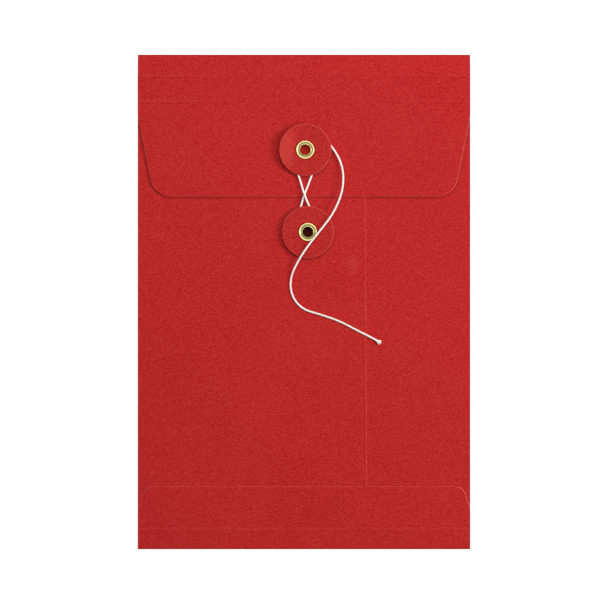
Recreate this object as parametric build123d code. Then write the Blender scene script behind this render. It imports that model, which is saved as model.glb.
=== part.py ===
from build123d import *
import os
from math import radians, tan

# String tie envelope, lying on its plain front with the flap side up, as it lies on a desk.
# X runs across it, Y towards the flap's fold and Z out of its back.
# The origin is in the middle of the face that it lies on. All sizes are in millimetres.
# The real one is folded from a single sheet. Here each panel between two folds is a piece of its own.

# Sheet
paper = 0.3  # thickness of the paper
gum = 0.05  # thickness of a gum line
width = 162.0  # between the side folds
length = 241.0  # from the bottom fold to the fold of the flap
fold_gap = 0.05  # left open where a fold turns
cut_over = 5.0  # how far a cutting body runs past what it cuts

# Side gussets, one pleat on each side
gusset_depth = 12.5  # from the side fold to the pleat's inner fold
ply_gap = 0.1  # between the two plies of the right pleat
pleat_play = 0.2  # from a pleat to the back panel over it

# Back panels, lapped and gummed at an off-centre seam
seam_x = 30.0  # free edge of the left panel
lap = 15.0  # how far the right panel runs under the left one
throat = 10.9  # from the fold of the flap down to the mouth
seam_gum_margin = 2.0  # bare border round the seam's gum line

# Bottom flap, folded up and gummed over the back panels
bottom_flap_depth = 30.6
bottom_crease = 10.3  # from the bottom fold up to the scored crease
bottom_shoulder = 20.0  # from the bottom fold up to where the sides start to slant
bottom_inset = 3.7  # how far the slant runs in
bottom_corner = 4.6  # corner radius
bottom_gum_band = 12.0  # height of the gum line
bottom_gum_margin = 3.0  # bare border beside it

# Closing flap
flap_depth = 69.3
flap_shoulder = 29.8  # from the fold to where the sides start to slant
flap_inset = 8.0  # how far the slant runs in
flap_corner = 10.0  # corner radius
flap_play = 0.7  # from the back panel to the flap over it

# Discs and the eyelets that rivet them on
disc_diameter = 25.5
disc_thickness = 0.8
disc_edge = 0.15  # rounding of the stamped edge
disc_gap = 1.5  # room for the string under a disc
upper_disc_x = 0.6  # off the middle
upper_disc_rise = 22.8  # centre above the tip of the flap
lower_disc_x = 1.9
lower_disc_drop = 17.2  # centre below the tip of the flap
eyelet_hole = 5.0  # inside diameter
eyelet_wall = 0.35
eyelet_flange = 9.0  # outside diameter of the rolled rim
eyelet_flange_height = 0.7
eyelet_mouth = 0.25  # height of the rim at the hole
eyelet_clinch = 8.0  # outside diameter of the clenched end
eyelet_clinch_height = 0.4
eyelet_clinch_mouth = 0.15  # height of the clenched end at the hole
eyelet_fit = 0.05  # clearance between a barrel or rim and what it holds

# String
string_diameter = 0.9
knot_diameter = 1.3
string_lay = 0.05  # clearance under a strand that lies on the paper
arc_share = 0.45  # share of the shorter run that an arc of the string takes up
near_run = 2.7  # stretch of the string that counts as its own neighbour

# The string's route, from the knot under the upper disc to its free end.
# Each point is given across, up and above the paper from the centre of the disc that it goes round.
down_run = [  # from the knot to the flap's edge, from the upper disc
    (4.0, -2.3, 0.2),
    (4.9, -7.3, 0.1),
    (3.2, -12.2, 0.0),
    (0.6, -19.0, 0.0),
    (-1.2, -24.0, 0.0),
]
lower_turn = [  # round the lower disc
    (-3.9, 11.0, 0.1),
    (-6.9, 4.6, 0.0),
    (-6.1, -2.6, 0.1),
    (-0.5, -7.0, 0.0),
    (5.9, -4.6, 0.1),
    (7.3, 2.0, 0.0),
    (3.9, 7.6, 0.1),
    (0.7, 12.2, 0.2),
]
upper_turn = [  # back up across itself and round the upper disc
    (0.4, -24.0, 1.35),
    (-1.2, -19.4, 1.45),
    (-3.1, -12.6, 0.3),
    (-6.4, -6.3, 0.1),
    (-8.2, 1.1, 0.0),
    (-4.8, 7.7, 0.1),
    (2.4, 10.1, 0.0),
    (8.4, 7.1, 0.1),
    (10.6, 4.3, 0.25),
]
tail_off = [  # leaving the upper disc on the right
    (15.0, -1.3, 0.55),
    (17.9, -7.6, 1.35),
    (18.7, -14.6, 2.15),
]
tail_down = [  # over the rim of the lower disc and down the back to the free end, from the lower disc
    (16.2, 17.8, 3.55),
    (12.3, 9.0, 3.35),
    (6.1, 0.9, 3.25),
    (0.1, -6.5, 3.25),
    (-5.3, -14.7, 2.05),
    (-8.8, -22.8, 0.1),
    (-8.1, -31.0, 0.0),
    (-2.9, -37.6, 0.1),
    (6.3, -40.2, 0.0),
    (15.3, -43.3, 0.1),
    (24.5, -48.2, 0.05),
    (32.1, -51.9, 0.1),
    (35.5, -54.1, 0.1),
]

# Levels and edges that follow from the sizes above
half_width = width / 2
fold_y = length / 2
bottom_y = -length / 2
right_level = paper + 2 * paper + ply_gap + pleat_play  # underside of the right back panel
left_level = right_level + paper + gum  # underside of the left back panel
back_top = left_level + paper
bottom_flap_level = back_top + gum
flap_level = back_top + flap_play
flap_top = flap_level + paper
crease_y = bottom_y + bottom_crease
mouth_y = fold_y - throat
flap_tip_y = fold_y - flap_depth
upper_disc_y = flap_tip_y + upper_disc_rise
lower_disc_y = flap_tip_y - lower_disc_drop
bottom_bend = (bottom_flap_level + paper) / 2  # outer radius of the bottom fold
barrel_radius = eyelet_hole / 2 + eyelet_wall
front_low_y = bottom_y + bottom_bend
panel_low_y = crease_y + paper / 2 + fold_gap  # lower edge of the back panels
bead_radius = paper  # the paper doubles where the flap folds over
bead_y = fold_y - bead_radius
front_high_y = bead_y - bead_radius - fold_gap
strand_on_flap = flap_top + string_lay + string_diameter / 2  # middle of a strand that lies on the flap
strand_on_back = back_top + string_lay + string_diameter / 2


def plate(x_low, x_high, y_low, y_high, level, thickness):
    """A flat sheet between two corners, lying on a level."""
    sheet = Rectangle(x_high - x_low, y_high - y_low, align=Align.MIN)
    return extrude(Pos(x_low, y_low, level) * sheet, thickness)


def across(profile):
    """A profile drawn in Y and Z, drawn out over the envelope's width."""
    return extrude(Plane.YZ * profile, half_width, both=True)


def tongue(root_y, tip_y, shoulder_y, inset, corner):
    """The outline of a flap: full width to its shoulders, then slanting in to a rounded tip."""
    outline = Polyline(
        (-half_width, root_y),
        (half_width, root_y),
        (half_width, shoulder_y),
        (half_width - inset, tip_y),
        (inset - half_width, tip_y),
        (-half_width, shoulder_y),
        close=True,
    )
    face = make_face(outline)
    tip_corners = [v for v in face.vertices() if abs(v.Y - tip_y) < paper]
    return extrude(fillet(tip_corners, corner), bottom_flap_level + flap_top)


def hole(x, y, radius):
    """A cutting body for a round hole through every sheet."""
    return Pos(x, y, 0) * Cylinder(radius, 2 * (flap_top + cut_over))


def front_panel():
    """The plain address side, which the envelope lies on."""
    return plate(-half_width, half_width, front_low_y, front_high_y, 0, paper)


def gusset(side, back_level):
    """A pleat under a back panel, open to its side fold. Side is 1 on the right and -1 on the left."""
    low, high = paper, back_level - pleat_play
    bend = (high - low) / 2
    straight = gusset_depth - bend
    outer = Pos(half_width - straight / 2, 0) * Rectangle(straight, 2 * bend)
    outer += Pos(half_width - straight, 0) * Circle(bend)
    slit = Pos(half_width - straight / 2, 0) * Rectangle(straight, 2 * (bend - paper))
    slit += Pos(half_width - straight, 0) * Circle(bend - paper)
    profile = Plane.XZ * Pos(0, low + bend) * (outer - slit)
    pleat = Pos(0, mouth_y, 0) * extrude(profile, mouth_y - panel_low_y)
    return pleat if side > 0 else mirror(pleat, about=Plane.YZ)


def back_panel_right():
    """The narrow back panel, whose edge runs under the other one."""
    return plate(seam_x - lap, half_width, panel_low_y, mouth_y, right_level, paper)


def back_panel_left():
    """The wide back panel, which laps over the seam and carries the lower disc."""
    panel = plate(-half_width, seam_x, panel_low_y, mouth_y, left_level, paper)
    return panel - hole(lower_disc_x, lower_disc_y, barrel_radius + eyelet_fit)


def seam_gum():
    """The gum line that holds the lap of the back panels."""
    x_low, x_high = seam_x - lap + seam_gum_margin, seam_x - seam_gum_margin
    y_low, y_high = panel_low_y + seam_gum_margin, mouth_y - seam_gum_margin
    return plate(x_low, x_high, y_low, y_high, right_level + paper, gum)


def bottom_fold():
    """The bend at the bottom edge, from the front up to the bottom flap."""
    ring = Circle(bottom_bend) - Circle(bottom_bend - paper)
    ring &= Pos(-bottom_bend, 0) * Rectangle(2 * bottom_bend, 2 * bottom_bend)
    return across(Pos(front_low_y, bottom_bend) * ring)


def bottom_strip():
    """The strip of the bottom flap between the bottom fold and the crease."""
    y_high = crease_y - paper / 2 - fold_gap
    return plate(-half_width, half_width, front_low_y, y_high, bottom_flap_level, paper)


def bottom_flap():
    """The part of the bottom flap above the crease, gummed to the back panels and bending at the crease."""
    tip_y = bottom_y + bottom_flap_depth
    sheet = Rectangle(tip_y - crease_y, paper, align=(Align.MIN, Align.CENTER)) + Circle(paper / 2)
    body = across(Pos(crease_y, bottom_flap_level + paper / 2) * sheet)
    return body & tongue(bottom_y, tip_y, bottom_y + bottom_shoulder, bottom_inset, bottom_corner)


def bottom_gum():
    """The gum line between the left back panel and the bottom flap."""
    y_high = bottom_y + bottom_flap_depth - bottom_gum_margin
    x_low = bottom_inset + bottom_gum_margin - half_width
    return plate(x_low, seam_x - bottom_gum_margin, y_high - bottom_gum_band, y_high, back_top, gum)


def flap_outline():
    """The closing flap as seen from above."""
    return tongue(fold_y, flap_tip_y, fold_y - flap_shoulder, flap_inset, flap_corner)


def flap_bend():
    """The bead at the flap's fold and the rise from it over the mouth."""
    rise = make_face(
        Polyline(
            (bead_y, 2 * bead_radius),
            (mouth_y, flap_top),
            (mouth_y, flap_level),
            (bead_y, 2 * bead_radius - paper),
            close=True,
        )
    )
    return across(rise + Pos(bead_y, bead_radius) * Circle(bead_radius)) & flap_outline()


def closing_flap():
    """The flap, flat from the mouth down to its rounded tip, with a hole for its eyelet."""
    sheet = plate(-half_width, half_width, flap_tip_y, mouth_y, flap_level, paper) & flap_outline()
    return sheet - hole(upper_disc_x, upper_disc_y, barrel_radius + eyelet_fit)


def disc(x, y, panel_top):
    """A stamped board disc, held off its panel far enough for the string to run under it."""
    body = Cylinder(disc_diameter / 2, disc_thickness, align=(Align.CENTER, Align.CENTER, Align.MIN))
    body = fillet(body.edges().filter_by(GeomType.CIRCLE), disc_edge)
    body -= Cylinder(barrel_radius + eyelet_fit, cut_over)
    return Pos(x, y, panel_top + disc_gap) * body


def eyelet(x, y, panel_top):
    """A brass eyelet: a rolled rim over the disc, a barrel, and an end clenched behind the panel."""
    rim_z = disc_gap + disc_thickness + eyelet_fit
    back_z = -paper
    bore, rim, clinch = eyelet_hole / 2, eyelet_flange / 2, eyelet_clinch / 2
    rim_arc = ThreePointArc(
        (bore, rim_z + eyelet_mouth),
        ((bore + rim) / 2, rim_z + eyelet_flange_height),
        (rim, rim_z),
    )
    shoulder = Polyline((rim, rim_z), (barrel_radius, rim_z), (barrel_radius, back_z), (clinch, back_z))
    clinch_arc = ThreePointArc(
        (clinch, back_z),
        ((bore + clinch) / 2, back_z - eyelet_clinch_height),
        (bore, back_z - eyelet_clinch_mouth),
    )
    wall = Line((bore, back_z - eyelet_clinch_mouth), (bore, rim_z + eyelet_mouth))
    profile = Plane.XZ * make_face([*rim_arc.edges(), *shoulder.edges(), *clinch_arc.edges(), *wall.edges()])
    return Pos(x, y, panel_top) * revolve(profile, Axis.Z)


def over_flap(points):
    """Points of the route, given from the upper disc."""
    return [(upper_disc_x + x, upper_disc_y + y, strand_on_flap + z) for x, y, z in points]


def over_back(points):
    """Points of the route, given from the lower disc."""
    return [(lower_disc_x + x, lower_disc_y + y, strand_on_back + z) for x, y, z in points]


def string_path(route):
    """Straight runs joined by tangent arcs, each as large as its two runs allow."""
    points = [Vector(*p) for p in route]
    radii = []
    for before, here, after in zip(points, points[1:], points[2:]):
        run_in, run_out = here - before, after - here
        shorter = min(run_in.length, run_out.length)
        radii.append(arc_share * shorter / tan(radians(run_in.get_angle(run_out)) / 2))
    print("least bend radius", round(min(radii), 2), "largest", round(max(radii), 1))
    return FilletPolyline(*points, radius=radii)


def string_tube(name, route):
    """A stretch of the string along its route."""
    path = string_path(route)
    end = Plane(origin=path @ 0, z_dir=path % 0)
    tube = sweep(end * Circle(string_diameter / 2), path=path)
    section = Circle(string_diameter / 2).area
    print(name, "length", round(path.length, 1), "volume over section", round(tube.volume / section, 1))
    return tube, path


def print_least_gap(path):
    """The least clear distance of the winding to itself, between points well apart along it."""
    step = string_diameter / 2
    count = int(path.length / step)
    points = [path @ (i / count) for i in range(count + 1)]
    apart = int(near_run / step)
    least = min((p - q).length for i, p in enumerate(points) for q in points[i + apart :])
    print("least gap of the winding to itself", round(least - string_diameter, 2))


def string_knot(route):
    """The noose that ties the string round the upper eyelet, and its knot, cut where the strand leaves it."""
    start, second = Vector(*route[0]), Vector(*route[1])
    away = (second - start).normalized()
    noose_radius = barrel_radius + eyelet_fit + string_diameter / 2
    noose = Pos(upper_disc_x, upper_disc_y, start.Z) * Torus(noose_radius, string_diameter / 2)
    bump = Pos(start - away * (string_diameter / 2)) * Sphere(knot_diameter / 2)
    face = Plane(origin=start, z_dir=away)
    return split(noose + bump, bisect_by=face, keep=Keep.BOTTOM)


def main():
    winding_route = over_flap(down_run) + over_back(lower_turn) + over_flap(upper_turn)
    tail_route = winding_route[-1:] + over_flap(tail_off) + over_back(tail_down)
    winding, winding_path = string_tube("winding", winding_route)
    tail, _ = string_tube("tail", tail_route)
    print_least_gap(winding_path)
    pieces = {
        "front_panel": front_panel(),
        "left_gusset": gusset(-1, left_level),
        "right_gusset": gusset(1, right_level),
        "back_panel_left": back_panel_left(),
        "back_panel_right": back_panel_right(),
        "seam_gum": seam_gum(),
        "bottom_fold": bottom_fold(),
        "bottom_strip": bottom_strip(),
        "bottom_flap": bottom_flap(),
        "bottom_gum": bottom_gum(),
        "flap_bend": flap_bend(),
        "closing_flap": closing_flap(),
        "upper_disc": disc(upper_disc_x, upper_disc_y, flap_top),
        "lower_disc": disc(lower_disc_x, lower_disc_y, back_top),
        "upper_eyelet": eyelet(upper_disc_x, upper_disc_y, flap_top),
        "lower_eyelet": eyelet(lower_disc_x, lower_disc_y, back_top),
        "string_knot": string_knot(winding_route),
        "string_winding": winding,
        "string_tail": tail,
    }
    os.makedirs("parts", exist_ok=True)
    for name, piece in pieces.items():
        export_step(piece, f"parts/{name}.step")


main()
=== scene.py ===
import math
import bmesh
import bpy
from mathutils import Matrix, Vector


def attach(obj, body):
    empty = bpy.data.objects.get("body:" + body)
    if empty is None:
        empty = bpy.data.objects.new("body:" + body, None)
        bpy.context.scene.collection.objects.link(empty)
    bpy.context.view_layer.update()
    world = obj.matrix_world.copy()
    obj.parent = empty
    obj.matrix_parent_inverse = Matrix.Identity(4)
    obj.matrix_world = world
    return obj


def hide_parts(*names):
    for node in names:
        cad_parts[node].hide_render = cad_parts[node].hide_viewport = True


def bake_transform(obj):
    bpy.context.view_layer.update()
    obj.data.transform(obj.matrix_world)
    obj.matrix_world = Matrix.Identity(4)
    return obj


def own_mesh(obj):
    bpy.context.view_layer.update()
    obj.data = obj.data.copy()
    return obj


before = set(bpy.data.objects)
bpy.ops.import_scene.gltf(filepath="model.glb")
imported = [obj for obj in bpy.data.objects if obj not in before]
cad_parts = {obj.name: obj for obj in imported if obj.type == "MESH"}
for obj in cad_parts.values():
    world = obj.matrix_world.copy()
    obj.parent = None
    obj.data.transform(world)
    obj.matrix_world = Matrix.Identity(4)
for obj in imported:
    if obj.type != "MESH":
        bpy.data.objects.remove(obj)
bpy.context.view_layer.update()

# Front panel: the plain address side, which the envelope lies on.
# Heavy uncoated paper, dyed red right through, with a fine felt grain of short fibres.
# Its inner face is painted near black under the lower eyelet, as painted shade down in the eyelet's
# hole.
MM = 0.001
paper_thickness = 0.3
short_fibres, long_fibres, clouds = 2000, 1350, 22
long_share, cloud_share = 0.4, 0.05
fibre_relief, layer_tilt = 0.12, (0.4, 0.3)
lower_disc_x, lower_disc_y = 1.9, 34.0
# Painted shade: a near-black spot on the front panel's inner face, seen down the lower eyelet.
pocket_shade_radius, pocket_shade_depth = 4.4, 0.25
pocket_shade_colour, pocket_shade_share, pocket_shade_core = (0.05, 0.004, 0.002), 0.92, 0.7


def join(tree, output, target):
    tree.links.new(output, target)


def grain(tree, scale, detail, stretch=(1, 1, 1), turn=0.0):
    """A noise pattern in the sheet's own place, drawn out along its fibres.

    It is tilted, so that a flat sheet cuts across the pattern's layers and shows an even grain."""
    place = tree.nodes.new("ShaderNodeTexCoord")
    mapping = tree.nodes.new("ShaderNodeMapping")
    mapping.inputs["Scale"].default_value = stretch
    mapping.inputs["Rotation"].default_value = (*layer_tilt, turn)
    noise = tree.nodes.new("ShaderNodeTexNoise")
    noise.inputs["Scale"].default_value = scale
    noise.inputs["Detail"].default_value = detail
    noise.inputs["Roughness"].default_value = 0.6
    join(tree, place.outputs["Object"], mapping.inputs["Vector"])
    join(tree, mapping.outputs["Vector"], noise.inputs["Vector"])
    return noise.outputs[0]


def mixed(tree, first, second, share):
    """Two grey patterns added together in the given share of the second."""
    mix = tree.nodes.new("ShaderNodeMix")
    mix.data_type = "FLOAT"
    mix.inputs["Factor"].default_value = share
    join(tree, first, mix.inputs["A"])
    join(tree, second, mix.inputs["B"])
    return mix.outputs["Result"]


def tones(tree, pattern, stops):
    """Colours laid over a grey pattern."""
    ramp = tree.nodes.new("ShaderNodeValToRGB")
    elements = ramp.color_ramp.elements
    while len(elements) < len(stops):
        elements.new(0.5)
    for element, (at, colour) in zip(elements, stops):
        element.position = at
        element.color = (*colour, 1)
    join(tree, pattern, ramp.inputs["Fac"])
    return ramp.outputs["Color"]


def raised(tree, pattern, strength, depth):
    """The pattern pressed into the surface as fine relief."""
    bump = tree.nodes.new("ShaderNodeBump")
    bump.inputs["Strength"].default_value = strength
    bump.inputs["Distance"].default_value = depth
    join(tree, pattern, bump.inputs["Height"])
    return bump.outputs["Normal"]


def red_paper(name, dark, light):
    """Dyed paper: mottled fibres of two lengths over a faint cloudiness."""
    material = bpy.data.materials.new(name)
    material.use_nodes = True
    tree = material.node_tree
    shader = tree.nodes["Principled BSDF"]
    shader.inputs["Roughness"].default_value = 0.8
    shader.inputs["Specular IOR Level"].default_value = 0.16
    short = grain(tree, short_fibres, 4)
    long = grain(tree, long_fibres, 3, (0.6, 1.3, 1), 0.4)
    cloud = grain(tree, clouds, 2)
    fibres = mixed(tree, short, long, long_share)
    pattern = mixed(tree, fibres, cloud, cloud_share)
    join(tree, tones(tree, pattern, [(0.40, dark), (0.60, light)]), shader.inputs["Base Color"])
    join(tree, raised(tree, fibres, 0.35, fibre_relief * MM), shader.inputs["Normal"])
    return material


def marked(source, name, *marks):
    """A copy of a paper with soft marks on it, each of its full share inside its core."""
    material = source.copy()
    material.name = name
    tree = material.node_tree
    base = tree.nodes["Principled BSDF"].inputs["Base Color"]
    for middle, radii, colour, share, core in marks:
        plain = base.links[0].from_socket
        place = tree.nodes.new("ShaderNodeTexCoord")
        mapping = tree.nodes.new("ShaderNodeMapping")
        mapping.vector_type = "TEXTURE"
        mapping.inputs["Location"].default_value = Vector(middle) * MM
        mapping.inputs["Scale"].default_value = Vector(radii) * MM
        fading = tree.nodes.new("ShaderNodeTexGradient")
        fading.gradient_type = "SPHERICAL"
        strength = tree.nodes.new("ShaderNodeMapRange")
        strength.inputs["From Max"].default_value = 1 - core
        strength.inputs["To Max"].default_value = share
        mix = tree.nodes.new("ShaderNodeMix")
        mix.data_type = "RGBA"
        ends = {socket.identifier: socket for socket in (*mix.inputs, *mix.outputs)}
        ends["B_Color"].default_value = (*colour, 1)
        join(tree, place.outputs["Object"], mapping.inputs["Vector"])
        join(tree, mapping.outputs["Vector"], fading.inputs["Vector"])
        join(tree, fading.outputs["Fac"], strength.inputs["Value"])
        join(tree, strength.outputs["Result"], ends["Factor_Float"])
        join(tree, plain, ends["A_Color"])
        join(tree, ends["Result_Color"], base)
    return material


paper = red_paper("red_paper", (0.365, 0.0, 0.0), (0.53, 0.029, 0.026))
# The painted shade spot goes on the inner face, under the lower eyelet.
pocket_shade_at = (lower_disc_x, lower_disc_y, paper_thickness)
pocket_shade_radii = (pocket_shade_radius, pocket_shade_radius, pocket_shade_depth)
eyelet_hole_shade = (pocket_shade_at, pocket_shade_radii, pocket_shade_colour, pocket_shade_share, pocket_shade_core)
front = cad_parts["front_panel"]
front.data.materials.clear()
front.data.materials.append(marked(paper, "shaded_front_paper", eyelet_hole_shade))

# Side gussets: one pleat on each side, folded in between the front and the back.
# The paper runs in from the side fold to a crease, and back out to the other side fold.
# The real pleat opens with the mouth and bends between the front and the back; this one is one piece,
# attached to neither.
half_width = 81.0
mouth_y, panel_low_y = 109.6, -110.0
gusset_depth, leaf_wall = 12.3, 0.4
side_gap, leaf_gap = 0.1, 0.06
left_back_under, right_back_under = 1.55, 1.2
gusset_rows, leaf_steps = 90, 8
# The cut edges' lighter tone is partly paler cut paper and partly a painted highlight along the edges.
cut_edge_and_highlight = red_paper("cut_paper_edge_and_highlight", (0.52, 0.04, 0.036), (0.68, 0.09, 0.082))


def finished(source, name):
    """The source with its modifiers, as a plain mesh of its own."""
    bpy.context.view_layer.update()
    graph = bpy.context.evaluated_depsgraph_get()
    mesh = bpy.data.meshes.new_from_object(source.evaluated_get(graph))
    bpy.data.objects.remove(source)
    mesh.name = name
    mesh.shade_smooth()
    mesh.set_sharp_from_angle(angle=math.radians(40))
    piece = bpy.data.objects.new(name, mesh)
    bpy.context.scene.collection.objects.link(piece)
    return piece


def spread(low, high, count):
    """Evenly spaced values from low to high."""
    return [low + (high - low) * i / (count - 1) for i in range(count)]


def side_gusset(name, node, side, back_under):
    """Two leaves that meet in a crease, drawn out from the bottom crease to the mouth.

    The leaves' heights are set so that both stay flat while the mouth opens."""
    low, high = paper_thickness + leaf_gap, back_under - leaf_gap
    section = []
    for share in spread(0, 1, 2 * leaf_steps + 1):
        x = half_width - side_gap - gusset_depth * (1 - abs(2 * share - 1))
        height = 0.5 - math.sin(math.asin(1 - 2 * share) / 3)
        section.append((x, low + (high - low) * height))
    loop = section + [(x - leaf_wall, z) for x, z in reversed(section)]
    count = len(loop)
    pleat = bmesh.new()
    rings = []
    for y in spread(panel_low_y, mouth_y, gusset_rows):
        rings.append([pleat.verts.new((side * x * MM, y * MM, z * MM)) for x, z in loop])
    for here, after in zip(rings, rings[1:]):
        for i in range(count):
            k = (i + 1) % count
            pleat.faces.new((here[i], here[k], after[k], after[i]))
    for ring in (rings[0], rings[-1]):
        for i in range(2 * leaf_steps):
            end = pleat.faces.new((ring[i], ring[i + 1], ring[count - 2 - i], ring[count - 1 - i]))
            end.material_index = 1
    bmesh.ops.recalc_face_normals(pleat, faces=pleat.faces)
    mesh = bpy.data.meshes.new(name)
    pleat.to_mesh(mesh)
    pleat.free()
    mesh.materials.append(paper)
    mesh.materials.append(cut_edge_and_highlight)
    source = bpy.data.objects.new(name + "_sheet", mesh)
    bpy.context.scene.collection.objects.link(source)
    piece = finished(source, name)
    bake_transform(piece)
    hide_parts(node)


side_gusset("left_gusset_pleat", "left_gusset", -1, left_back_under)
side_gusset("right_gusset_pleat", "right_gusset", 1, right_back_under)

# Back panels: the left one laps over the right one, and its cut edge is the seam that shows.
# They are the same red paper, rubbed pale in one spot, and lie slack in very shallow waves.
# A line of gum in the lap holds them together.
left_top, right_top = 1.85, 1.5
lap_x = 15.0
seam_at_x, seam_at_y, seam_lean = 30.25, -20.0, 0.0055
panel_slack = 0.05
panel_rows, left_columns, right_columns = 90, 60, 40
edge_slope = 0.17
barrel_hole, punch_length = 2.9, 20.0
right_through = 1000.0
rubbed_at, rubbed_radii = (23.9, 18.1, 0), (3.0, 6.0, right_through)
# This pale colour serves the real rubbed spot and also the painted highlights along the creases.
rub_and_highlight_colour, rubbed_share, rubbed_core = (0.60, 0.09, 0.075), 0.17, 0.2


def paper_sheet(name, rows, barrel=None, pressed=None):
    """A sheet from rows of points on its outer face, with sloping cut edges.

    The points end one edge slope short of the outline, and the slope makes up the rest.
    The sheet is punched for an eyelet's barrel, a place and a radius. It is pressed thinner
    in a tight fold, given as the place where that starts and the thickness there."""
    columns = len(rows[0])
    grid = bmesh.new()
    outer = [[grid.verts.new((x * MM, y * MM, z * MM)) for x, y, z in row] for row in rows]
    for low, high in zip(outer, outer[1:]):
        for c in range(columns - 1):
            grid.faces.new((low[c], low[c + 1], high[c + 1], high[c]))
    grid.normal_update()

    def wall(v):
        in_fold = pressed and v.co.y > pressed[0] * MM
        return (pressed[1] if in_fold else paper_thickness) * MM

    inner = [[grid.verts.new(v.co - v.normal * wall(v)) for v in row] for row in outer]
    for low, high in zip(inner, inner[1:]):
        for c in range(columns - 1):
            grid.faces.new((low[c], high[c], high[c + 1], low[c + 1]))

    def border(sheet):
        right = [row[-1] for row in sheet]
        left = [row[0] for row in sheet]
        return sheet[0][:-1] + right[:-1] + sheet[-1][:0:-1] + left[:0:-1]

    rim, top, bottom = [], border(outer), border(inner)
    count = len(top)
    for i, v in enumerate(top):
        ahead = top[(i + 1) % count].co - top[i - 1].co
        away = ahead.cross(v.normal).normalized()
        rim.append(grid.verts.new(v.co - v.normal * wall(v) / 2 + away * edge_slope * MM))
    for i in range(count):
        k = (i + 1) % count
        for first, second in ((top, rim), (rim, bottom)):
            grid.faces.new((first[i], second[i], second[k], first[k])).material_index = 1
    mesh = bpy.data.meshes.new(name)
    grid.to_mesh(mesh)
    grid.free()
    mesh.materials.append(paper)
    mesh.materials.append(cut_edge_and_highlight)
    source = bpy.data.objects.new(name + "_sheet", mesh)
    bpy.context.scene.collection.objects.link(source)
    if barrel:
        x, y, radius = barrel
        bpy.ops.mesh.primitive_cylinder_add(
            vertices=64, radius=radius * MM, depth=punch_length * MM, location=(x * MM, y * MM, 0)
        )
        punch = bpy.context.object
        cut = source.modifiers.new("hole", "BOOLEAN")
        cut.operation = "DIFFERENCE"
        cut.solver = "EXACT"
        cut.object = punch
    piece = finished(source, name)
    if barrel:
        bpy.data.objects.remove(punch)
    return piece


def slack(x, y, height):
    """Shallow waves of a sheet that lies loose."""
    wave = math.sin(x / 23 + y / 41) + math.sin(x / 37 - y / 29 + 1.3) + math.sin(y / 19 + 0.4)
    return height * wave / 3


def seam_x(y):
    """The left panel's cut edge, which leans a little."""
    return seam_at_x - (y - seam_at_y) * seam_lean


def panel_points(left, right, top, columns):
    """Rows of points on a back panel, from its left edge to its right edge."""
    points = []
    for y in spread(panel_low_y + edge_slope, mouth_y - edge_slope, panel_rows):
        low, high = left(y) + edge_slope, right(y) - edge_slope
        points.append([(x, y, top + slack(x, y, panel_slack)) for x in spread(low, high, columns)])
    return points


rows = panel_points(lambda y: -half_width, seam_x, left_top, left_columns)
back_left = paper_sheet("back_sheet_left", rows, (lower_disc_x, lower_disc_y, barrel_hole))
rubbed_spot = (rubbed_at, rubbed_radii, rub_and_highlight_colour, rubbed_share, rubbed_core)
back_left.data.materials[0] = marked(paper, "rubbed_paper", rubbed_spot)
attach(back_left, "back")
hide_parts("back_panel_left")
rows = panel_points(lambda y: lap_x, lambda y: half_width, right_top, right_columns)
back_right = paper_sheet("back_sheet_right", rows)
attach(back_right, "back")
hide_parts("back_panel_right")

# Gum lines: one in the back seam and one under the bottom flap.
# Dried vegetable gum, a thin amber film that has soaked unevenly into the paper.
# Each lies between two sheets and shows only at a torn or opened seam.
gum_soak = 160
gum_dark, gum_light = (0.42, 0.20, 0.08), (0.62, 0.36, 0.18)
gum = bpy.data.materials.new("dried_gum")
gum.use_nodes = True
gum_tree = gum.node_tree
gum_shader = gum_tree.nodes["Principled BSDF"]
gum_shader.inputs["Roughness"].default_value = 0.35
gum_film = grain(gum_tree, gum_soak, 3)
gum_tones = tones(gum_tree, gum_film, [(0.3, gum_dark), (0.7, gum_light)])
join(gum_tree, gum_tones, gum_shader.inputs["Base Color"])
for line in ("seam_gum", "bottom_gum"):
    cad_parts[line].data.materials.clear()
    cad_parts[line].data.materials.append(gum)

# Bottom flap: folded up round the bottom edge and gummed over the back panels.
# It has a scored crease a little way up, with a painted highlight along it, and a cut upper edge with
# rounded corners.
# In the envelope the strip below the crease stays with the front and the rest moves with the back; here
# it is one piece, attached to neither.
bottom_y, bottom_bend, bottom_top = -120.5, 1.1, 2.2
bottom_tip_y, bottom_shoulder_y = -89.9, -100.5
bottom_inset, bottom_corner, bottom_side_x = 3.7, 4.6, 75.0
bottom_crease_y, bottom_slack = -110.2, 0.03
ridge_height, ridge_edge, ridge_reach = 0.09, 0.25, 4
hollow_above, hollow_width, hollow_depth = 0.6, 0.45, 0.1
# Painted highlight: a pale line along the bottom crease.
highlight_below, highlight_length, highlight_width = 0.3, 300.0, 0.5
bottom_highlight_share, highlight_core = 0.08, 0.3
flap_columns, bend_steps = 80, 12
# Painted highlight: a pale tone for the slanting cut edges of the flaps.
side_edge_highlight = red_paper("highlit_paper_edge", (0.62, 0.10, 0.085), (0.80, 0.21, 0.175))


def tongue_half_width(from_tip, shoulder, inset, corner):
    """Half the width of a flap at a distance from its tip.

    A round corner comes first, then a slant, then the full width."""
    slope = inset / shoulder
    steep = math.sqrt(1 + slope * slope)
    if from_tip < corner * (1 - slope / steep):
        middle = half_width - inset + slope * corner - corner * steep
        return middle + math.sqrt(max(0, corner**2 - (from_tip - corner) ** 2))
    return min(half_width, half_width - inset + slope * from_tip)


def corner_steps(corner, count):
    """Distances from the tip that divide a round corner evenly."""
    return [corner * (1 - math.cos(math.pi / 2 * i / count)) for i in range(count + 1)]


def scored(at, line, width, rise):
    """The relief of a scored line: a ridge, or a hollow where the rise is below 0."""
    return rise * math.exp(-(((at - line) / width) ** 2))


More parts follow.
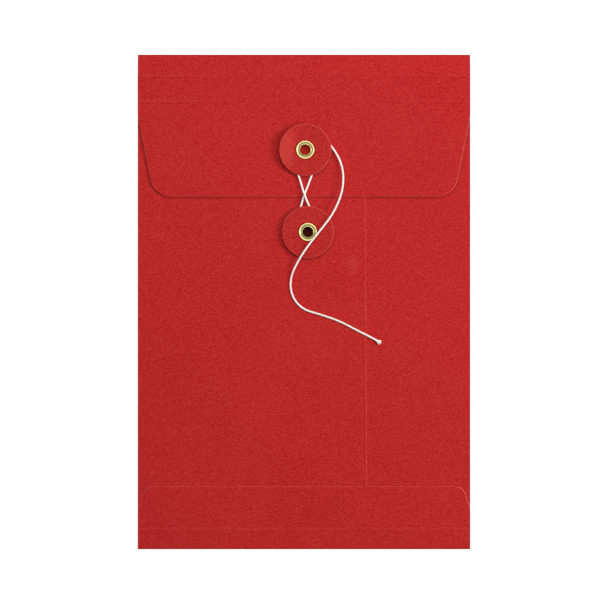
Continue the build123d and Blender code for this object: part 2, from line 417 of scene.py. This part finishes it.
def tongue_row(y, z, half, relief=lambda x, y: 0):
    """One row of points across a flap, between its sloping edges."""
    half -= edge_slope
    return [(x, y, z + relief(x, y)) for x in spread(-half, half, flap_columns)]


def inside_tip(from_tip, corner):
    """The distance from the tip, drawn in by the edge's slope near the tip."""
    return from_tip + edge_slope * max(0.0, 1 - from_tip / corner)


def highlight_side_edges(piece, from_x, low_y, high_y):
    """Paints the slanting cut edges of a flap pale, as a painted highlight along them."""
    piece.data.materials.append(side_edge_highlight)
    for face in piece.data.polygons:
        x, y, z = face.center / MM
        if face.material_index == 1 and abs(x) > from_x and low_y < y < high_y:
            face.material_index = 2


def bottom_relief(x, y):
    """A hollow above the crease, and a ridge at it that dies away below."""
    above = y - bottom_crease_y
    fall = 1 - math.tanh(above / ridge_edge)
    ridge = ridge_height * fall * math.exp(-((above / ridge_reach) ** 2))
    hollow = scored(y, bottom_crease_y + hollow_above, hollow_width, -hollow_depth)
    return hollow + ridge + slack(x, y, bottom_slack)


rows = []
for i in range(bend_steps + 1):
    angle = math.pi / bend_steps * i
    y = bottom_y + bottom_bend - bottom_bend * math.sin(angle)
    z = bottom_bend - bottom_bend * math.cos(angle)
    rows.append(tongue_row(y, z, half_width))
bottom_depth = bottom_tip_y - bottom_y
# Distances from the tip, closer together at the corners and at the crease.
steps = corner_steps(bottom_corner, 14) + spread(5.2, bottom_depth - 11.4, 16)
steps += spread(bottom_depth - 11.2, bottom_depth - 9.4, 14)
steps += spread(bottom_depth - 9.0, bottom_depth - 1.3, 8)
for v in reversed(steps):
    half = tongue_half_width(v, bottom_tip_y - bottom_shoulder_y, bottom_inset, bottom_corner)
    y = bottom_tip_y - inside_tip(v, bottom_corner)
    rows.append(tongue_row(y, bottom_top, half, bottom_relief))
bottom_wrap = paper_sheet("bottom_wrap", rows)
# The bottom flap's slanting edges take the painted highlight.
highlight_side_edges(bottom_wrap, bottom_side_x, bottom_shoulder_y, bottom_tip_y)
# The painted highlight along the bottom crease.
highlight_at = (0, bottom_crease_y - highlight_below, 0)
highlight_radii = (highlight_length, highlight_width, right_through)
bottom_highlight = (highlight_at, highlight_radii, rub_and_highlight_colour, bottom_highlight_share, highlight_core)
bottom_wrap.data.materials[0] = marked(paper, "highlit_bottom_paper", bottom_highlight)
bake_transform(bottom_wrap)
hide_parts("bottom_fold", "bottom_strip", "bottom_flap")

# Closing flap: the end of the sheet, folded over the mouth, with slanting sides and rounded corners.
# It has a scored crease for a filled envelope, and the mouth's edge shows through it. Both lines carry
# a painted highlight towards the sides. The upper eyelet holds it, and left of that its edge lifts a
# little.
fold_y, fold_radius, front_high_y = 120.5, 0.3, 119.8
pressed_thickness = 0.22
flap_top, after_mouth_y = 2.85, 111.6
flap_tip_y, flap_shoulder_y = 51.2, 90.7
flap_inset, flap_corner, flap_side_x = 8.0, 10.0, 72.0
flap_crease_y = 97.3
line_width, line_rise, line_full_x = 0.5, 0.24, 70
crease_rise, mouth_rise = 0.04, 0.03
left_share, right_share = 1.2, 0.9
corner_lift, corner_x = 0.12, 73
edge_lift, edge_lift_x, edge_lift_width = 0.35, -45, 22
lift_reach = 14
# Painted highlights: pale lines along the crease and the mouth's line, towards the sides.
flap_highlight_radii = (45.0, highlight_width, right_through)
left_highlight_share, right_highlight_share = 0.15, 0.08
crease_highlight_y, mouth_highlight_y = flap_crease_y + 0.4, mouth_y + 0.65
upper_disc_x, upper_disc_y = 0.6, 74.0


def flap_relief(x, y):
    """Two ridges that grow towards the sides, and the lift of the edge and the corners."""
    to_side = min(1.0, abs(x / line_full_x) ** 1.5) * (left_share if x < 0 else right_share)
    crease = scored(y, flap_crease_y, line_width, crease_rise + line_rise * to_side)
    mouth = scored(y, mouth_y, line_width, mouth_rise + line_rise * to_side)
    lift = corner_lift * abs(x / corner_x) ** 4 + scored(x, edge_lift_x, edge_lift_width, edge_lift)
    from_tip = (y - flap_tip_y) / lift_reach
    return crease + mouth + lift * math.exp(-from_tip) + slack(x, y, panel_slack)


def flap_drop(y):
    """How far the flap has come down: 0 as far as the mouth's edge, and 1 at the fold."""
    return max(0.0, (y - mouth_y) / (fold_y - fold_radius - mouth_y)) ** 1.2


def flap_level(y):
    """The height of the flap's outer face before its relief."""
    return flap_top - flap_drop(y) * (flap_top - 2 * fold_radius)


rows = []
# Distances from the tip, closer together at the corners and at the two lines.
steps = corner_steps(flap_corner, 18) + spread(11.0, 44.3, 24) + spread(44.7, 47.5, 18)
steps += spread(48.0, 56.5, 8) + spread(57.0, 60.0, 18)
for v in steps:
    half = tongue_half_width(v, flap_shoulder_y - flap_tip_y, flap_inset, flap_corner)
    y = flap_tip_y + inside_tip(v, flap_corner)
    rows.append(tongue_row(y, flap_level(y), half, flap_relief))
for y in spread(after_mouth_y, fold_y - fold_radius, 14):
    loose = (1 - flap_drop(y)) * panel_slack
    rows.append(tongue_row(y, flap_level(y), half_width, lambda x, y: slack(x, y, loose)))
for i in range(1, bend_steps + 1):
    angle = math.pi / bend_steps * i
    y = fold_y - fold_radius + fold_radius * math.sin(angle)
    z = fold_radius + fold_radius * math.cos(angle)
    rows.append(tongue_row(y, z, half_width))
rows.append(tongue_row(front_high_y + edge_slope, 0, half_width))
barrel = (upper_disc_x, upper_disc_y, barrel_hole)
flap = paper_sheet("flap_sheet", rows, barrel, (front_high_y, pressed_thickness))
# The closing flap's slanting edges take the painted highlight.
highlight_side_edges(flap, flap_side_x, flap_tip_y, flap_shoulder_y)
# Painted highlights along the crease and the mouth's line, stronger on the left side.
flap_highlights = []
for side_x, share in ((-half_width, left_highlight_share), (half_width, right_highlight_share)):
    for highlight_y in (crease_highlight_y, mouth_highlight_y):
        highlight_at = (side_x, highlight_y, 0)
        flap_highlights.append((highlight_at, flap_highlight_radii, rub_and_highlight_colour, share, highlight_core))
flap.data.materials[0] = marked(paper, "highlit_flap_paper", *flap_highlights)
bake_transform(flap)
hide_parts("flap_bend", "closing_flap")

# Discs: stamped from red board, one on the flap and one on the back, and free to turn on their eyelets.
# The stamp leaves a rounded edge with paler, fuzzy board at the cut, and the eyelet presses in a ring.
# The upper one has been bent up along a line left of its eyelet, and the bent part is painted paler, as
# a painted highlight where it tilts towards the light.
disc_radius, disc_thickness, disc_hole = 12.75, 0.8, 2.92
disc_face_radius, disc_seat_radius, disc_edge_from = 12.26, 5.6, 12.25
upper_disc_level, lower_disc_level = 4.35, 3.35
disc_segments = 128
bend_top, bend_low = Vector((-3.7, 9.0)), Vector((-7.3, -7.6))
bend_rise, bend_softness = 0.21, 0.15
# Painted highlight: a paler patch on the upper disc's bent-up left part.
bend_highlight_at, bend_highlight_radii = (-9.4, 74.5, 0), (6.5, 14.0, right_through)
bend_highlight_colour, bend_highlight_share, bend_highlight_core = (0.60, 0.06, 0.048), 0.32, 0.45
disc_bow = 0.0012
board = red_paper("red_board", (0.29, 0.0, 0.0), (0.535, 0.030, 0.025))
painted_bend_highlight = (bend_highlight_at, bend_highlight_radii, bend_highlight_colour, bend_highlight_share, bend_highlight_core)
highlit_bent_board = marked(board, "highlit_bent_board", painted_bend_highlight)
board_edge = red_paper("stamped_board_edge", (0.42, 0.022, 0.018), (0.60, 0.075, 0.064))


def turned(name, profile, x, y, z, segments, materials, lift=None, edge_from=None):
    """A closed profile of radius and height turned round an upright axis."""
    mesh = bpy.data.meshes.new(name)
    shape = bmesh.new()
    rings = []
    for i in range(segments):
        angle = 2 * math.pi * i / segments
        ring = []
        for radius, height in profile:
            dx, dy = radius * math.cos(angle), radius * math.sin(angle)
            rise = lift(dx, dy) if lift else 0
            ring.append(shape.verts.new(((x + dx) * MM, (y + dy) * MM, (z + height + rise) * MM)))
        rings.append(ring)
    count = len(profile)
    for i in range(segments):
        here, after = rings[i], rings[(i + 1) % segments]
        for j in range(count):
            k = (j + 1) % count
            face = shape.faces.new((here[j], after[j], after[k], here[k]))
            if edge_from and min(profile[j][0], profile[k][0]) > edge_from:
                face.material_index = 1
    bmesh.ops.recalc_face_normals(shape, faces=shape.faces)
    shape.to_mesh(mesh)
    shape.free()
    for material in materials:
        mesh.materials.append(material)
    mesh.shade_smooth()
    mesh.set_sharp_from_angle(angle=math.radians(50))
    piece = bpy.data.objects.new(name, mesh)
    bpy.context.scene.collection.objects.link(piece)
    return piece


def bent_left(dx, dy):
    """How far the upper disc is bent up left of the line between its two points."""
    along = (bend_low - bend_top).normalized()
    beyond = (Vector((dx, dy)) - bend_top).cross(along)
    return bend_rise * (beyond + math.sqrt(beyond * beyond + bend_softness)) / 2


def bowed(dx, dy):
    """The lower disc's slight bow."""
    return disc_bow * (dx * dx - dy * dy)


def board_disc(name, node, x, y, level, lift, face):
    """A disc from its underside out to its edge, in over its face and down into the eyelet's seat."""
    under = [(r, 0.0) for r in spread(3.0, 12.4, 20)]
    edge = [
        (12.65, 0.03), (disc_radius, 0.1), (disc_radius, 0.22),
        (12.68, 0.46), (12.58, 0.66), (12.42, 0.78),
    ]
    over = [(r, disc_thickness) for r in spread(disc_face_radius, disc_seat_radius, 18)]
    seat = [
        (5.3, 0.78), (5.0, 0.7), (4.8, 0.54), (4.6, 0.48), (4.3, 0.5), (3.1, 0.55),
        (disc_hole, 0.5), (disc_hole, 0.1),
    ]
    profile, finishes = under + edge + over + seat, (face, board_edge)
    piece = turned(name, profile, x, y, level, disc_segments, finishes, lift, disc_edge_from)
    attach(piece, node)
    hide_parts(node)


board_disc(
    "upper_board_disc", "upper_disc",
    # The upper disc carries the painted highlight on its bent part.
    upper_disc_x, upper_disc_y, upper_disc_level, bent_left, highlit_bent_board,
)
board_disc(
    "lower_board_disc", "lower_disc",
    lower_disc_x, lower_disc_y, lower_disc_level, bowed, board,
)

# Eyelets: the two brass rivets that the discs turn on, with a barrel down through disc and paper.
# Each is drawn with a rolled rim over the disc and, inside it, a channel painted dark olive as painted
# shade, and a low lip.
# The far end is clenched outwards behind the sheet. The lower one's barrel is painted near black, as
# painted shade down its hole.
eyelet_segments = 72
barrel_reach, channel_from, channel_to = 2.61, 2.9, 3.7
wear_marks, barrel_shade_marks = 900, 700
brass_dark, brass_light = (0.58, 0.49, 0.20), (0.80, 0.71, 0.36)
# Dark olive tones of the painted shade in the channel inside the rim.
channel_shade_dark, channel_shade_light = (0.13, 0.125, 0.035), (0.21, 0.20, 0.06)
# Near-black tones of the painted shade in the lower eyelet's barrel.
barrel_shade_dark, barrel_shade_light = (0.012, 0.008, 0.005), (0.035, 0.022, 0.012)
rolled_rim = [
    (2.6, -0.45), (2.6, 2.42), (2.63, 2.6), (2.72, 2.71), (2.84, 2.71),
    (2.96, 2.62), (3.12, 2.55), (3.45, 2.55), (3.62, 2.64), (3.78, 2.84),
    (3.95, 3.0), (4.12, 3.04), (4.28, 2.97), (4.41, 2.78), (4.48, 2.55),
    (4.5, 2.4), (4.45, 2.36), (2.85, 2.36), (2.85, -0.31), (3.85, -0.31),
    (3.98, -0.4), (3.9, -0.55), (3.5, -0.66), (3.0, -0.64), (2.7, -0.56),
]
brass = bpy.data.materials.new("rolled_brass")
brass.use_nodes = True
brass_tree = brass.node_tree
brass_shader = brass_tree.nodes["Principled BSDF"]
brass_shader.inputs["Metallic"].default_value = 1.0
brass_wear = grain(brass_tree, wear_marks, 3)
brass_tones = tones(brass_tree, brass_wear, [(0.3, brass_dark), (0.7, brass_light)])
join(brass_tree, brass_tones, brass_shader.inputs["Base Color"])
brass_rough = brass_tree.nodes.new("ShaderNodeMapRange")
brass_rough.inputs["To Min"].default_value = 0.22
brass_rough.inputs["To Max"].default_value = 0.42
join(brass_tree, brass_wear, brass_rough.inputs["Value"])
join(brass_tree, brass_rough.outputs["Result"], brass_shader.inputs["Roughness"])
# Painted shade: the channel inside the rim is brass darkened to a dull olive.
shaded_brass_channel = brass.copy()
shaded_brass_channel.name = "painted_shade_brass_channel"
for node in shaded_brass_channel.node_tree.nodes:
    if node.type == "VALTORGB":
        node.color_ramp.elements[0].color = (*channel_shade_dark, 1)
        node.color_ramp.elements[1].color = (*channel_shade_light, 1)
# Painted shade: the lower eyelet's barrel is near-black metal, so that its hole looks dark.
shaded_barrel = bpy.data.materials.new("painted_shade_barrel")
shaded_barrel.use_nodes = True
shaded_barrel_tree = shaded_barrel.node_tree
shaded_barrel_shader = shaded_barrel_tree.nodes["Principled BSDF"]
shaded_barrel_shader.inputs["Metallic"].default_value = 1.0
shaded_barrel_shader.inputs["Roughness"].default_value = 0.6
barrel_shade_grain = grain(shaded_barrel_tree, barrel_shade_marks, 3)
barrel_shade_tones = tones(shaded_barrel_tree, barrel_shade_grain, [(0.3, barrel_shade_dark), (0.7, barrel_shade_light)])
join(shaded_barrel_tree, barrel_shade_tones, shaded_barrel_shader.inputs["Base Color"])


def eyelet(name, node, body, x, y, level, barrel_finish):
    """An eyelet turned from its rim's profile, with its own finish in the barrel and the channel."""
    finishes = (brass, barrel_finish, shaded_brass_channel)
    piece = turned(name, rolled_rim, x, y, level, eyelet_segments, finishes)
    axis, points = Vector((x, y)), piece.data.vertices
    for face in piece.data.polygons:
        reach = max(math.hypot(*(points[v].co.xy / MM - axis)) for v in face.vertices)
        if reach < barrel_reach:
            face.material_index = 1
        elif channel_from < reach < channel_to:
            face.material_index = 2
    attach(piece, body)
    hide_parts(node)


eyelet("upper_brass_eyelet", "upper_eyelet", "flap", upper_disc_x, upper_disc_y, flap_top, brass)
# The lower eyelet's barrel takes the painted shade.
eyelet("lower_brass_eyelet", "lower_eyelet", "back", lower_disc_x, lower_disc_y, left_top, shaded_barrel)

# String: three-ply twisted cotton, left undyed, knotted under the upper disc.
# It runs down and round the lower disc, back up across itself, round the upper disc, and hangs loose.
# The route's points are the ones that the solid follows, from the knot to the free end.
string_diameter, string_twist = 0.9, 2.6
string_plies, ply_groove, lobe_spread = 3, 0.14, 1.18
section_points, string_steps = 18, 26
cotton_fibre = 3500
cotton_dark, cotton_light = (0.92, 0.885, 0.84), (1.0, 0.985, 0.96)
cotton_bump, cotton_relief = 0.4, 0.00008
cotton = bpy.data.materials.new("undyed_cotton")
cotton.use_nodes = True
cotton_tree = cotton.node_tree
cotton_shader = cotton_tree.nodes["Principled BSDF"]
cotton_shader.inputs["Roughness"].default_value = 0.9
cotton_shader.inputs["Specular IOR Level"].default_value = 0.2
cotton_fibres = grain(cotton_tree, cotton_fibre, 3)
cotton_tones = tones(cotton_tree, cotton_fibres, [(0.3, cotton_dark), (0.7, cotton_light)])
join(cotton_tree, cotton_tones, cotton_shader.inputs["Base Color"])
cotton_fuzz = raised(cotton_tree, cotton_fibres, cotton_bump, cotton_relief)
join(cotton_tree, cotton_fuzz, cotton_shader.inputs["Normal"])
route = [
    (4.6, 71.7, 3.55), (5.5, 66.7, 3.45), (3.8, 61.8, 3.35), (1.2, 55.0, 3.35), (-0.6, 50.0, 3.35),
    (-2.0, 45.0, 2.45), (-5.0, 38.6, 2.35), (-4.2, 31.4, 2.45), (1.4, 27.0, 2.35), (7.8, 29.4, 2.45),
    (9.2, 36.0, 2.35), (5.8, 41.6, 2.45), (2.6, 46.2, 2.55), (1.0, 50.0, 4.7), (-0.6, 54.6, 4.8),
    (-2.5, 61.4, 3.65), (-5.8, 67.7, 3.45), (-7.6, 75.1, 3.35), (-4.2, 81.7, 3.45), (3.0, 84.1, 3.35),
    (9.0, 81.1, 3.45), (11.2, 78.3, 3.6), (15.6, 72.7, 3.9), (18.5, 66.4, 4.7), (19.3, 59.4, 5.5),
    (18.1, 51.8, 5.9), (14.2, 43.0, 5.7), (8.0, 34.9, 5.6), (2.0, 27.5, 5.6), (-3.4, 19.3, 4.4),
    (-6.9, 11.2, 2.45), (-6.2, 3.0, 2.35), (-1.0, -3.6, 2.45), (8.2, -6.2, 2.35), (17.2, -9.3, 2.45),
    (26.4, -14.2, 2.4), (34.0, -17.9, 2.45), (37.4, -20.1, 2.45),
]


def string_line(name, points, steps, closed=False):
    """A smooth line led by its points, as a chain of short edges."""
    curve = bpy.data.curves.new(name, "CURVE")
    curve.dimensions = "3D"
    spline = curve.splines.new("NURBS")
    spline.points.add(len(points) - 1)
    for point, (x, y, z) in zip(spline.points, points):
        point.co = (x * MM, y * MM, z * MM, 1)
    spline.use_cyclic_u = closed
    spline.order_u = 3
    spline.use_endpoint_u = not closed
    spline.resolution_u = steps
    source = bpy.data.objects.new(name, curve)
    bpy.context.scene.collection.objects.link(source)
    bpy.context.view_layer.update()
    evaluated = source.evaluated_get(bpy.context.evaluated_depsgraph_get())
    mesh = bpy.data.meshes.new_from_object(evaluated)
    bpy.data.objects.remove(source)
    chain = bpy.data.objects.new(name + "_chain", mesh)
    bpy.context.scene.collection.objects.link(chain)
    return chain


def twist_tree():
    """Draws a section with one lobe for each ply along a line, and turns it steadily as it goes."""
    tree = bpy.data.node_groups.new("twisted_string", "GeometryNodeTree")
    sockets = {
        "Line": "NodeSocketGeometry",
        "Diameter": "NodeSocketFloat",
        "Twist": "NodeSocketFloat",
        "Groove": "NodeSocketFloat",
        "Finish": "NodeSocketMaterial",
    }
    for name, kind in sockets.items():
        tree.interface.new_socket(name, in_out="INPUT", socket_type=kind)
    tree.interface.new_socket("String", in_out="OUTPUT", socket_type="NodeSocketGeometry")

    def node(kind, **settings):
        made = tree.nodes.new(kind)
        for key, value in settings.items():
            setattr(made, key, value)
        return made

    def maths(operation, first, second):
        made = node("ShaderNodeMath", operation=operation)
        for slot, value in zip(made.inputs, (first, second)):
            if isinstance(value, (int, float)):
                slot.default_value = value
            elif value is not None:
                tree.links.new(value, slot)
        return made.outputs[0]

    given = node("NodeGroupInput").outputs
    along = node("GeometryNodeSplineParameter").outputs
    line = node("GeometryNodeMeshToCurve")
    join(tree, given["Line"], line.inputs["Mesh"])
    tilt = node("GeometryNodeSetCurveTilt")
    join(tree, line.outputs["Curve"], tilt.inputs["Curve"])
    turns = maths("DIVIDE", along["Length"], given["Twist"])
    join(tree, maths("MULTIPLY", turns, 2 * math.pi), tilt.inputs["Tilt"])
    ring = node("GeometryNodeCurvePrimitiveCircle", mode="RADIUS")
    ring.inputs["Resolution"].default_value = section_points
    join(tree, maths("MULTIPLY", given["Diameter"], 0.5), ring.inputs["Radius"])
    round_ring = maths("MULTIPLY", along["Factor"], 2 * string_plies * math.pi)
    lobe = maths("COSINE", round_ring, None)
    inward = maths("MULTIPLY", maths("SUBTRACT", lobe, 1.0), given["Groove"])
    size = maths("ADD", inward, 1.0)
    where = node("GeometryNodeInputPosition")
    scaled = node("ShaderNodeVectorMath", operation="SCALE")
    join(tree, where.outputs[0], scaled.inputs[0])
    join(tree, size, scaled.inputs["Scale"])
    section = node("GeometryNodeSetPosition")
    join(tree, ring.outputs["Curve"], section.inputs["Geometry"])
    join(tree, scaled.outputs[0], section.inputs["Position"])
    tube = node("GeometryNodeCurveToMesh")
    tube.inputs["Fill Caps"].default_value = True
    join(tree, tilt.outputs["Curve"], tube.inputs["Curve"])
    join(tree, section.outputs["Geometry"], tube.inputs["Profile Curve"])
    real = node("GeometryNodeRealizeInstances")
    join(tree, tube.outputs["Mesh"], real.inputs["Geometry"])
    paint = node("GeometryNodeSetMaterial")
    join(tree, real.outputs["Geometry"], paint.inputs["Geometry"])
    join(tree, given["Finish"], paint.inputs["Material"])
    join(tree, paint.outputs["Geometry"], node("NodeGroupOutput").inputs["String"])
    return tree


twist = twist_tree()


def twisted(chain, name, diameter, pitch):
    """The chain as a twisted string."""
    modifier = chain.modifiers.new("twist", "NODES")
    modifier.node_group = twist
    values = {
        "Diameter": diameter * MM,
        "Twist": pitch * MM,
        "Groove": ply_groove,
        "Finish": cotton,
    }
    for item in twist.interface.items_tree:
        if item.name in values:
            modifier[item.identifier] = values[item.name]
    return finished(chain, name)


chain = string_line("string_line", route, string_steps)
string = twisted(chain, "closing_string", string_diameter * lobe_spread, string_twist)
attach(string, "flap")
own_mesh(string)
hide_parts("string_winding", "string_tail")

# Knot: the noose that ties the string round the upper eyelet, under its disc.
# A loop of the same string with two turns wrapped round the standing end.
# Only its edge shows, from low down, between the disc and the flap.
noose_radius, noose_level, noose_points = 3.3, 3.55, 12
noose_diameter, noose_twist, noose_steps = 0.75, 2.5, 10
wrap_x, wrap_y, wrap_step, wrap_lean = 4.55, 73.1, 0.13, 0.1
wrap_wide, wrap_high, wrap_points = 0.45, 0.4, 15
hitch_diameter, hitch_twist, hitch_steps = 0.5, 1.6, 8
noose = []
for i in range(noose_points):
    angle = 2 * math.pi / noose_points * i
    x = upper_disc_x + noose_radius * math.cos(angle)
    y = upper_disc_y + noose_radius * math.sin(angle)
    noose.append((x, y, noose_level))
noose_line = string_line("noose_line", noose, noose_steps, True)
loop = twisted(noose_line, "noose", noose_diameter, noose_twist)
wraps = []
for i in range(wrap_points):
    angle = math.pi / 3 * i
    step = wrap_step * i
    x = wrap_x - wrap_lean * step + wrap_wide * math.cos(angle)
    wraps.append((x, wrap_y - step, noose_level + wrap_high * math.sin(angle)))
wrap_line = string_line("wrap_line", wraps, hitch_steps)
knot = twisted(wrap_line, "string_hitch", hitch_diameter, hitch_twist)
bpy.ops.object.select_all(action="DESELECT")
loop.select_set(True)
knot.select_set(True)
bpy.context.view_layer.objects.active = knot
bpy.ops.object.join()
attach(knot, "flap")
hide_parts("string_knot")

# Frayed end: the last few millimetres, where the three plies have come apart into fibres.
# Fine cotton fibres that fan out from the cut and sag at their ends, each a tapering thread.
fray_at, fray_on = Vector((35.25, -18.75, 2.45)), Vector((0.84, -0.54, 0))
fibre_count, fibre_phase, fibre_radius = 16, 5, 0.13
fibre_taper = (1.0, 0.95, 0.6)
fan_width, fan_height, foot_share = 0.42, 0.14, 0.6
fibre_reach, reach_spread = 2.2, 0.25
fibre_sag = Vector((0, 0, -0.1))
strands = []
for i in range(fibre_count):
    swing = math.sin(i * 2.4 + fibre_phase) * fan_width
    rise = math.cos(i * 1.7 + fibre_phase) * fan_height
    reach = fibre_reach + reach_spread * math.sin(i * 3.1)
    ahead = Vector((fray_on.x - swing * fray_on.y, fray_on.y + swing * fray_on.x, rise))
    aside = swing * foot_share
    foot = fray_at + Vector((-fray_on.y * aside, fray_on.x * aside, rise))
    strands.append((foot, foot + ahead * reach * 0.5, foot + ahead * reach + fibre_sag))
fray_curve = bpy.data.curves.new("fray", "CURVE")
fray_curve.dimensions = "3D"
fray_curve.bevel_depth = fibre_radius * MM
fray_curve.bevel_resolution = 2
fray_curve.use_fill_caps = True
fray_curve.materials.append(cotton)
for strand in strands:
    spline = fray_curve.splines.new("POLY")
    spline.points.add(2)
    for point, place, thick in zip(spline.points, strand, fibre_taper):
        point.co = (*(place * MM), 1)
        point.radius = thick
fray_source = bpy.data.objects.new("fray_source", fray_curve)
bpy.context.scene.collection.objects.link(fray_source)
fray = finished(fray_source, "frayed_end")
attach(fray, "flap")
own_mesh(fray)

# Stage: a plain pale floor, a key lamp on the right, a soft box above, and even light from all round.
# The camera looks straight down on the envelope, as the photograph does.
# The floor and the sky look white to the camera, and throw less light than that on the object.
floor_size, floor_level = 8, -0.0002
floor_grey, floor_shine = 0.6, 0.8
sky_light, sky_seen = 0.32, 1.0
floor_material = bpy.data.materials.new("pale_floor")
floor_material.use_nodes = True
floor_tree = floor_material.node_tree
floor_tree.nodes.remove(floor_tree.nodes["Principled BSDF"])
floor_diffuse = floor_tree.nodes.new("ShaderNodeBsdfDiffuse")
floor_diffuse.inputs["Color"].default_value = (floor_grey, floor_grey, floor_grey, 1)
floor_glow = floor_tree.nodes.new("ShaderNodeEmission")
floor_sum = floor_tree.nodes.new("ShaderNodeAddShader")


def seen_directly(tree):
    """1 for what the camera sees, straight or in metal, and 0 for light that falls on the object."""
    ray = tree.nodes.new("ShaderNodeLightPath")
    first = tree.nodes.new("ShaderNodeMath")
    first.operation = "MAXIMUM"
    second = tree.nodes.new("ShaderNodeMath")
    second.operation = "MAXIMUM"
    join(tree, ray.outputs["Is Camera Ray"], first.inputs[0])
    join(tree, ray.outputs["Is Glossy Ray"], first.inputs[1])
    join(tree, first.outputs[0], second.inputs[0])
    join(tree, ray.outputs["Is Transmission Ray"], second.inputs[1])
    return second.outputs[0]


floor_strength = floor_tree.nodes.new("ShaderNodeMath")
floor_strength.operation = "MULTIPLY"
floor_strength.inputs[1].default_value = floor_shine
join(floor_tree, seen_directly(floor_tree), floor_strength.inputs[0])
join(floor_tree, floor_strength.outputs[0], floor_glow.inputs["Strength"])
join(floor_tree, floor_diffuse.outputs[0], floor_sum.inputs[0])
join(floor_tree, floor_glow.outputs[0], floor_sum.inputs[1])
join(floor_tree, floor_sum.outputs[0], floor_tree.nodes["Material Output"].inputs["Surface"])
bpy.ops.mesh.primitive_plane_add(size=floor_size, location=(0, 0, floor_level))
floor = bpy.context.object
floor.name = "floor"
floor.data.materials.append(floor_material)

world = bpy.data.worlds.new("studio")
bpy.context.scene.world = world
world.use_nodes = True
sky = world.node_tree.nodes["Background"]
sky.inputs["Color"].default_value = (1, 1, 1, 1)
sky_strength = world.node_tree.nodes.new("ShaderNodeMapRange")
sky_strength.inputs["To Min"].default_value = sky_light
sky_strength.inputs["To Max"].default_value = sky_seen
join(world.node_tree, seen_directly(world.node_tree), sky_strength.inputs["Value"])
join(world.node_tree, sky_strength.outputs["Result"], sky.inputs["Strength"])

for name, energy, size, place in (
    ("key", 10.5, 0.55, (1.05, 0.05, 0.83)),
    ("soft_box", 2.2, 0.6, (0.06, 0.3, 0.53)),
):
    lamp = bpy.data.lights.new(name, "AREA")
    lamp.energy = energy
    lamp.size = size
    stand = bpy.data.objects.new(name, lamp)
    stand.location = place
    stand.rotation_euler = (-stand.location).to_track_quat("-Z", "Y").to_euler()
    bpy.context.scene.collection.objects.link(stand)

lens = bpy.data.cameras.new("camera")
lens.lens = 300
lens.sensor_width = 36
camera = bpy.data.objects.new("camera", lens)
camera.location = (0.00095, -0.00201, 2.4858)
bpy.context.scene.collection.objects.link(camera)
bpy.context.scene.camera = camera
bpy.context.scene.view_settings.view_transform = "Standard"
